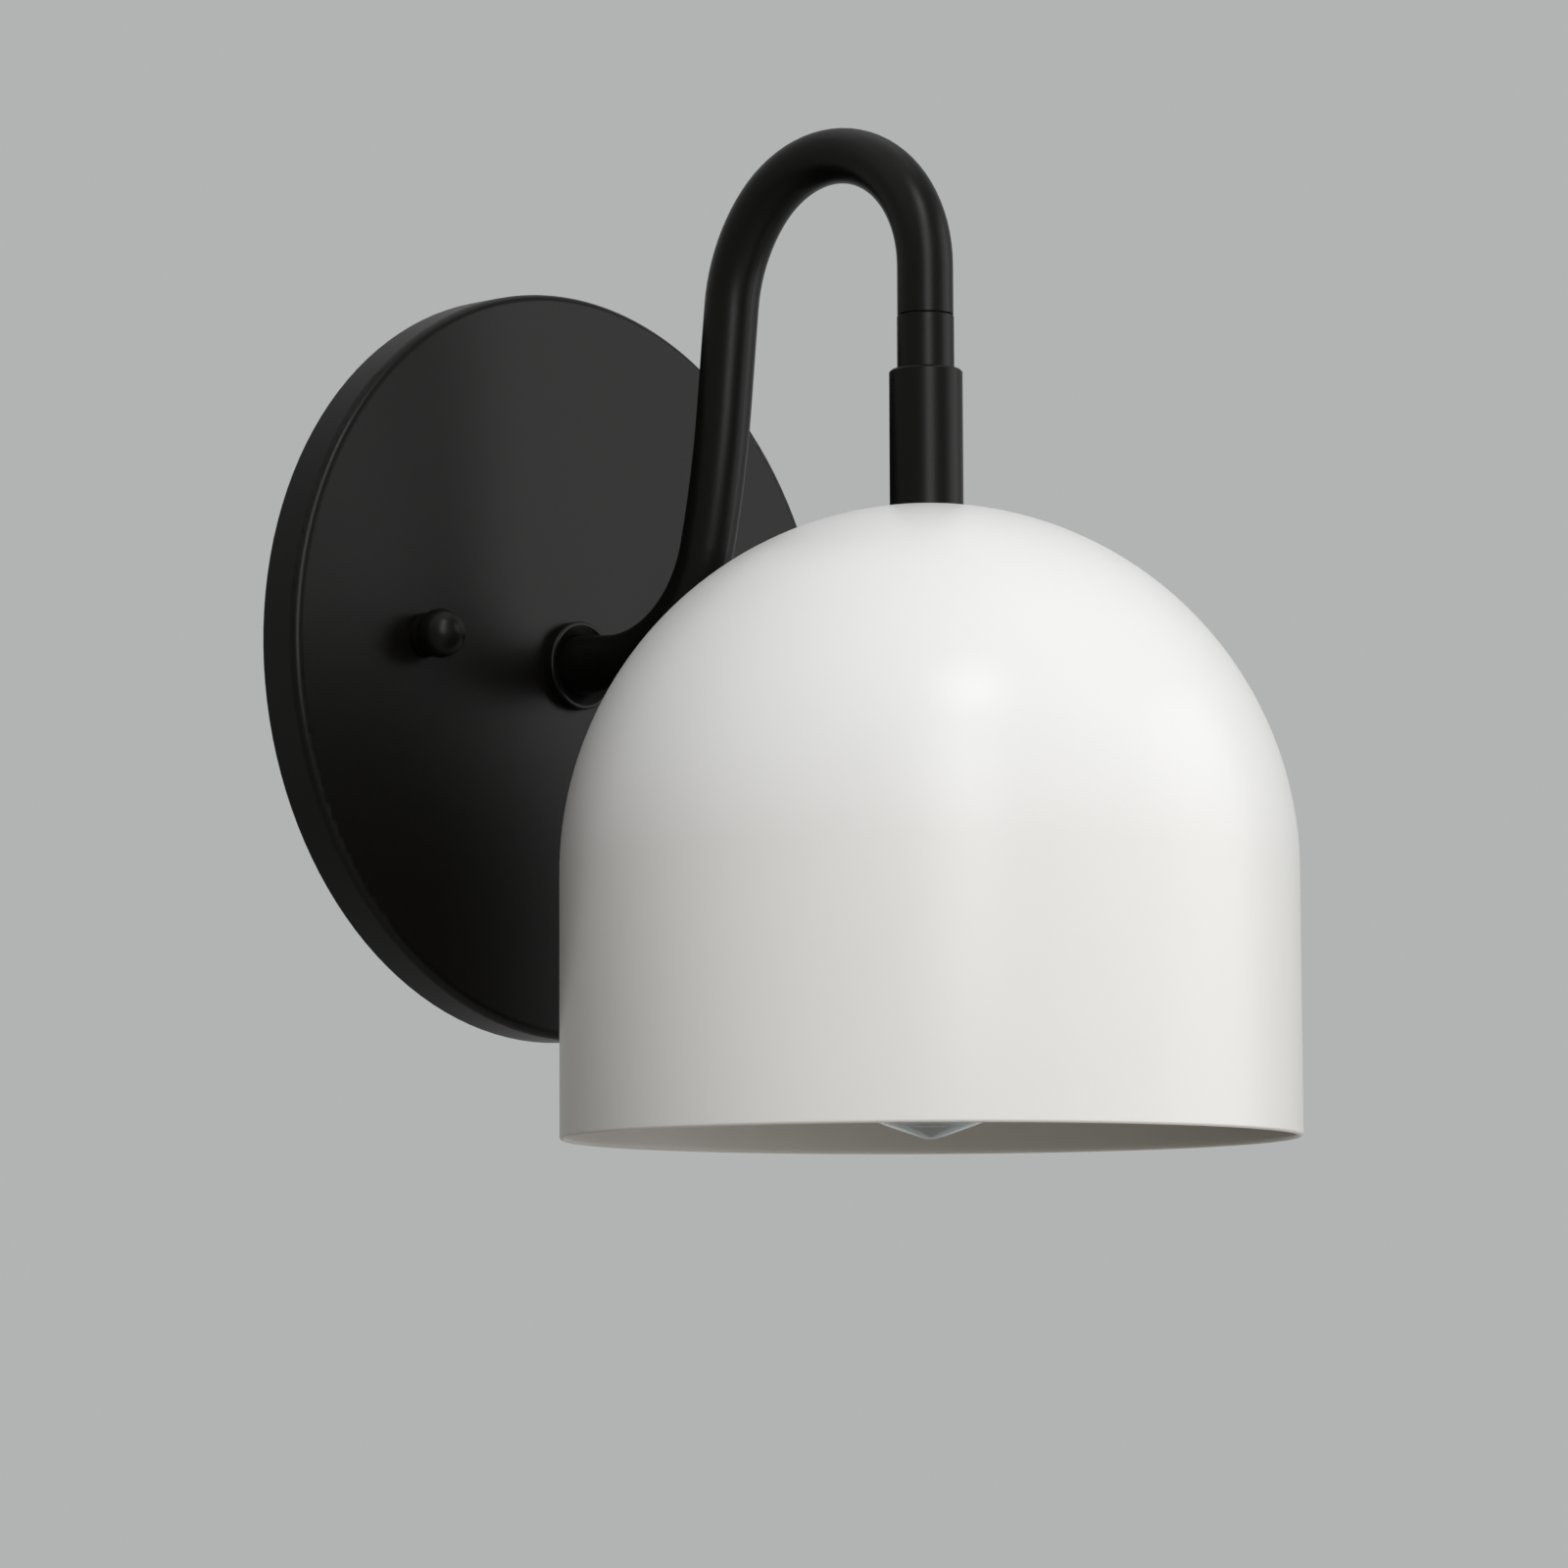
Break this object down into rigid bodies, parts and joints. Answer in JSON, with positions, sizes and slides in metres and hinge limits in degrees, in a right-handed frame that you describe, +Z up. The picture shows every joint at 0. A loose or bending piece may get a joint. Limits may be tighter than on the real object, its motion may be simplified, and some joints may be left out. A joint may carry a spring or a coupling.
{
  "type": "wall sconce",
  "caption": "Wall sconce with a round canopy, a gooseneck arm, a turning neck and a hanging dome shade over a screw-base bulb.",
  "frame": {"origin": "centre of the canopy and of the bracket's box-screw slots, on the wall plane", "axes": "+Z up, -Y out from the wall along the arm's reach, +X to the right when facing the wall"},
  "size_m": [0.1778, 0.2059, 0.2328],
  "materials": {
    "black_powder_coat": "fine satin powder coat on steel",
    "white_powder_coat": "satin powder coat on spun steel",
    "zinc_steel": "zinc plated",
    "brass": "turned",
    "green_screw": "green passivated steel",
    "black_nylon": "moulded",
    "cable_jacket": "extruded jacket",
    "black_core": "wire insulation",
    "white_core": "wire insulation",
    "black_phenolic": "moulded",
    "nickel_brass": "nickel plated",
    "black_glass": "vitrified insulator",
    "solder": "soldered button",
    "clear_glass": "clear blown glass",
    "phosphor": "coated filament",
    "steel_wire": "drawn wire"
  },
  "bodies": {
    "wall_side": {"mounting_bracket": "zinc_steel", "bracket_studs": "zinc_steel", "stud_lock_nuts": "zinc_steel", "ground_screw": "green_screw", "canopy": "black_powder_coat", "arm_tube": "black_powder_coat", "arm_collar": "black_powder_coat", "arm_nipple": "zinc_steel", "arm_lock_washer": "zinc_steel", "arm_hex_nut": "zinc_steel", "wire_bushing": "black_nylon", "supply_cable": "cable_jacket", "swivel_stem": "brass", "swivel_washer": "black_nylon"},
    "lamp_head": {"swivel_ring": "black_powder_coat", "swivel_stop_screw": "zinc_steel", "neck_tube": "black_powder_coat", "shade": "white_powder_coat", "shade_nipple": "zinc_steel", "shade_washer": "zinc_steel", "shade_lock_nut": "zinc_steel", "socket_cap": "black_phenolic", "socket_body": "black_phenolic", "screw_shell": "nickel_brass", "centre_contact": "brass", "terminal_screws": "brass", "hot_core": "black_core", "neutral_core": "white_core"},
    "left_washer": {"left_nut_washer": "black_powder_coat"},
    "left_nut": {"left_cap_nut": "black_powder_coat"},
    "right_washer": {"right_nut_washer": "black_powder_coat"},
    "right_nut": {"right_cap_nut": "black_powder_coat"},
    "bulb_tip": {"bulb_tip_contact": "solder"},
    "bulb": {"bulb_insulator": "black_glass", "bulb_base": "nickel_brass", "bulb_glass": "clear_glass", "bulb_stem": "clear_glass", "bulb_filaments": "phosphor", "filament_wires": "steel_wire"}
  },
  "joints": [
    {"name": "head_swivel", "type": "hinge", "parent": "wall_side", "child": "lamp_head", "pos_m": [0, -0.1234, 0.06], "axis": [0, 0, 1], "range_deg": [-150, 150]},
    {"name": "left_nut_turn", "type": "hinge", "parent": "wall_side", "child": "left_washer", "pos_m": [-0.049, -0.0114, 0.003], "axis": [0, -1, 0], "range_deg": [0, 2880]},
    {"name": "left_nut_travel", "type": "slide", "parent": "left_washer", "child": "left_nut", "axis": [0, -1, 0], "range_m": [0, 0.0064]},
    {"name": "right_nut_turn", "type": "hinge", "parent": "wall_side", "child": "right_washer", "pos_m": [0.049, -0.0114, 0.003], "axis": [0, -1, 0], "range_deg": [0, 2880]},
    {"name": "right_nut_travel", "type": "slide", "parent": "right_washer", "child": "right_nut", "axis": [0, -1, 0], "range_m": [0, 0.0064]},
    {"name": "bulb_travel", "type": "slide", "parent": "lamp_head", "child": "bulb_tip", "axis": [0, 0, -1], "range_m": [0, 0.02]},
    {"name": "bulb_turn", "type": "hinge", "parent": "bulb_tip", "child": "bulb", "pos_m": [0, -0.1234, -0.03], "axis": [0, 0, -1], "range_deg": [0, 1980]}
  ],
  "couplings": [
    {"joint": "left_nut_travel", "follows": "left_nut_turn", "m_per_rad": 0.00012633},
    {"joint": "right_nut_travel", "follows": "right_nut_turn", "m_per_rad": 0.00012633},
    {"joint": "bulb_travel", "follows": "bulb_turn", "m_per_rad": 0.0005775}
  ]
}
